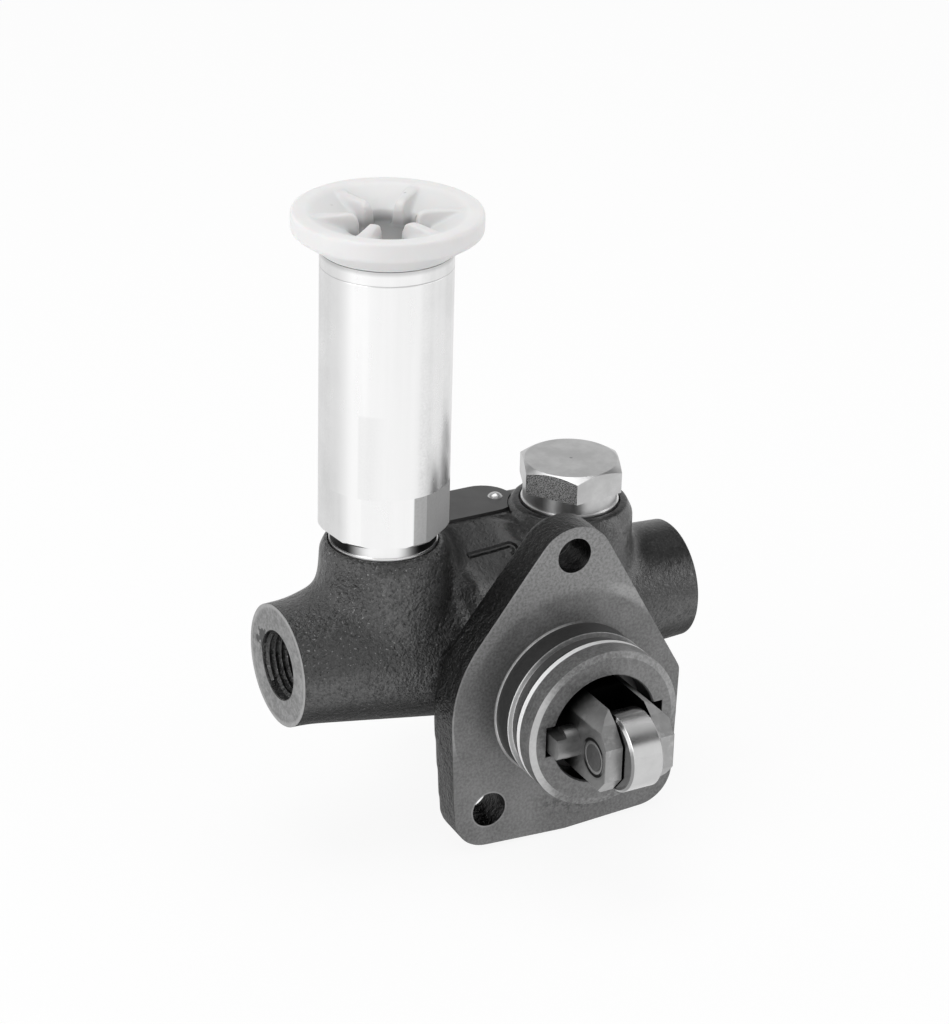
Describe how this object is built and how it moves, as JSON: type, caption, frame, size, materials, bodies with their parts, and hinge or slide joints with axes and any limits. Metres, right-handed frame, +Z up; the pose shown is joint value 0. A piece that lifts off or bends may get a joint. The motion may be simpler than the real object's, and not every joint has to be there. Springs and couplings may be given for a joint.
{
  "type": "fuel lift pump",
  "caption": "Piston fuel lift pump with a roller tappet, a flanged cast housing, threaded inlet and outlet ports, a hex valve plug and an upright hand primer with a white knob.",
  "frame": {"origin": "centre of the flange's mounting face, on the axis of the tappet and its pilot spigot", "axes": "-Y out of the spigot towards the engine, +Z up along the hand primer, +X towards the outlet port"},
  "size_m": [0.1022, 0.0996, 0.1484],
  "materials": {
    "cast_iron": "sand cast, machined faces",
    "plate": "satin",
    "tappet_steel": "hardened",
    "ground_steel": "ground",
    "spring_steel": "drawn",
    "zinc_steel": "zinc plated",
    "aluminium": "turned",
    "brass": "turned",
    "copper": "annealed",
    "valve_plastic": "moulded",
    "rubber": "moulded",
    "knob_plastic": "moulded"
  },
  "bodies": {
    "pump_body": {"housing": "cast_iron", "name_plate": "plate", "plate_rivets": "zinc_steel", "rear_plug": "zinc_steel", "rear_seal": "copper", "suction_seat": "brass", "pressure_seat": "brass", "pressure_plug": "zinc_steel", "plug_seal": "aluminium", "primer_barrel": "aluminium", "primer_seal": "aluminium", "primer_guide": "brass", "tappet_spring": "spring_steel", "piston_spring": "spring_steel", "suction_spring": "spring_steel", "pressure_spring": "spring_steel"},
    "tappet": {"tappet": "tappet_steel", "roller_pin": "tappet_steel", "guide_pin": "tappet_steel"},
    "roller": {"roller": "ground_steel"},
    "pump_piston": {"push_rod": "ground_steel", "piston": "tappet_steel"},
    "suction_valve": {"suction_valve": "valve_plastic"},
    "pressure_valve": {"pressure_valve": "valve_plastic"},
    "primer_piston": {"primer_piston": "aluminium", "primer_piston_ring": "rubber"},
    "primer_knob": {"primer_rod": "zinc_steel", "primer_knob": "knob_plastic"}
  },
  "joints": [
    {"name": "tappet_slide", "type": "slide", "parent": "pump_body", "child": "tappet", "axis": [0, 1, 0], "range_m": [0, 0.008], "stiffness_N_per_m": 2500, "springref_m": -0.006, "deforming": ["tappet_spring"]},
    {"name": "roller_spin", "type": "hinge", "parent": "tappet", "child": "roller", "pos_m": [0, -0.026, 0], "axis": [1, 0, 0], "continuous": true},
    {"name": "piston_slide", "type": "slide", "parent": "pump_body", "child": "pump_piston", "axis": [0, 1, 0], "range_m": [0, 0.008], "deforming": ["piston_spring"]},
    {"name": "suction_valve_lift", "type": "slide", "parent": "pump_body", "child": "suction_valve", "axis": [0, 0, 1], "range_m": [0, 0.0015], "stiffness_N_per_m": 250, "springref_m": -0.003, "deforming": ["suction_spring"]},
    {"name": "pressure_valve_lift", "type": "slide", "parent": "pump_body", "child": "pressure_valve", "axis": [0, 0, 1], "range_m": [0, 0.0015], "stiffness_N_per_m": 250, "springref_m": -0.003, "deforming": ["pressure_spring"]},
    {"name": "primer_stroke", "type": "slide", "parent": "pump_body", "child": "primer_piston", "axis": [0, 0, 1], "range_m": [0, 0.036]},
    {"name": "primer_turn", "type": "hinge", "parent": "primer_piston", "child": "primer_knob", "pos_m": [-0.034, 0.027, 0.104], "axis": [0, 0, 1], "continuous": true}
  ],
  "couplings": [
    {"joint": "piston_slide", "follows": "tappet_slide", "ratio": 1}
  ]
}
